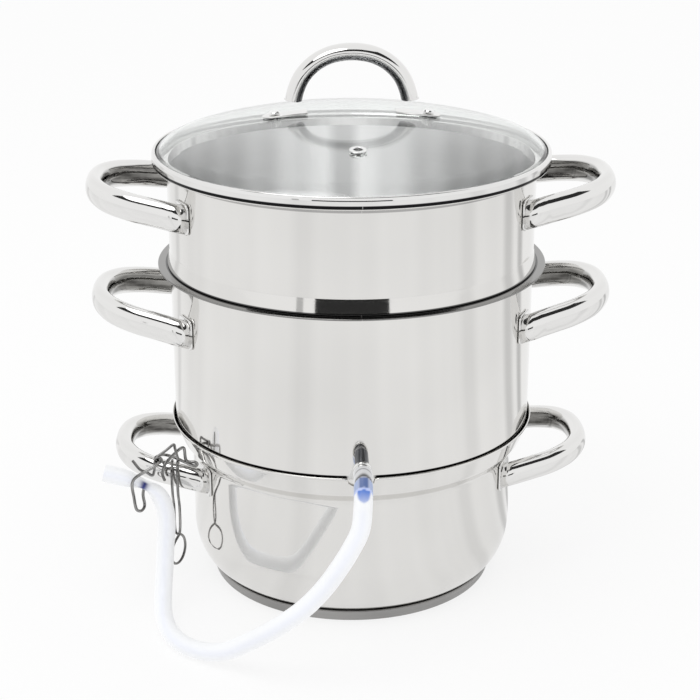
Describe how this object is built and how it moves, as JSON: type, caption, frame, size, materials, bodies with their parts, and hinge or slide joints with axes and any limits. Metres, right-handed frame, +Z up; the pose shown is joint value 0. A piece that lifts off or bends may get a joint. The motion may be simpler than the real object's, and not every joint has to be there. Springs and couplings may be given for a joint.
{
  "type": "steam juicer",
  "caption": "Stacked steel steam juicer: water pan, juice kettle with hose outlet, perforated fruit basket and domed glass lid, with loop handles and a wire hose clamp.",
  "frame": {"origin": "centre of the base disc's underside, on the stack's axis", "axes": "+Z up along the stack's axis, -Y the way the outlet points, side handles along X"},
  "size_m": [0.376, 0.3383, 0.3947],
  "materials": {
    "polished_steel": "mirror polished",
    "satin_steel": "satin",
    "bright_steel": "polished",
    "dark_wire": "dark drawn wire",
    "base_alloy": "satin",
    "lid_glass": "clear, slightly green",
    "clear_silicone": "translucent"
  },
  "bodies": {
    "pan": {"pan_base_disc": "base_alloy", "pan_handle_left": "polished_steel", "pan_handle_pad_left_back": "polished_steel", "pan_handle_pad_left_front": "polished_steel", "pan_handle_pad_right_back": "polished_steel", "pan_handle_pad_right_front": "polished_steel", "pan_handle_right": "polished_steel", "pan_shell": "polished_steel"},
    "kettle": {"hose_clamp_wire": "dark_wire", "juice_hose": "clear_silicone", "kettle_handle_left": "polished_steel", "kettle_handle_pad_left_back": "polished_steel", "kettle_handle_pad_left_front": "polished_steel", "kettle_handle_pad_right_back": "polished_steel", "kettle_handle_pad_right_front": "polished_steel", "kettle_handle_right": "polished_steel", "kettle_shell": "polished_steel", "outlet_ferrule": "bright_steel", "outlet_pipe": "satin_steel", "steam_chimney": "polished_steel"},
    "basket": {"basket_handle_left": "polished_steel", "basket_handle_pad_left_back": "polished_steel", "basket_handle_pad_left_front": "polished_steel", "basket_handle_pad_right_back": "polished_steel", "basket_handle_pad_right_front": "polished_steel", "basket_handle_right": "polished_steel", "basket_shell": "polished_steel"},
    "lid": {"lid_glass": "lid_glass", "lid_handle_arch": "polished_steel", "lid_handle_tab_left": "polished_steel", "lid_handle_tab_right": "polished_steel", "lid_nut_left": "satin_steel", "lid_nut_right": "satin_steel", "lid_rim_band": "bright_steel", "lid_screw_left": "bright_steel", "lid_screw_right": "bright_steel", "lid_vent_eyelet": "bright_steel", "lid_washer_left": "satin_steel", "lid_washer_right": "satin_steel"},
    "hose_clamp_jaw": {"hose_clamp_jaw": "dark_wire"},
    "wire_hook": {"wire_hook": "dark_wire"}
  },
  "joints": [
    {"name": "kettle_lift", "type": "slide", "parent": "pan", "child": "kettle", "axis": [0, 0, 1], "range_m": [0, 0.15]},
    {"name": "basket_lift", "type": "slide", "parent": "kettle", "child": "basket", "axis": [0, 0, 1], "range_m": [0, 0.15]},
    {"name": "lid_lift", "type": "slide", "parent": "basket", "child": "lid", "axis": [0, 0, 1], "range_m": [0, 0.15]},
    {"name": "hose_clamp_squeeze", "type": "hinge", "parent": "kettle", "child": "hose_clamp_jaw", "pos_m": [-0.1408, -0.074, 0.1116], "axis": [0, 1, 0], "range_deg": [0, 12], "stiffness_Nm_per_rad": 0.02, "springref_deg": -17.19},
    {"name": "hook_swing", "type": "hinge", "parent": "pan", "child": "wire_hook", "pos_m": [-0.1304, -0.0465, 0.0995], "axis": [-0.9768, 0.2141, 0], "range_deg": [-5, 1]}
  ]
}
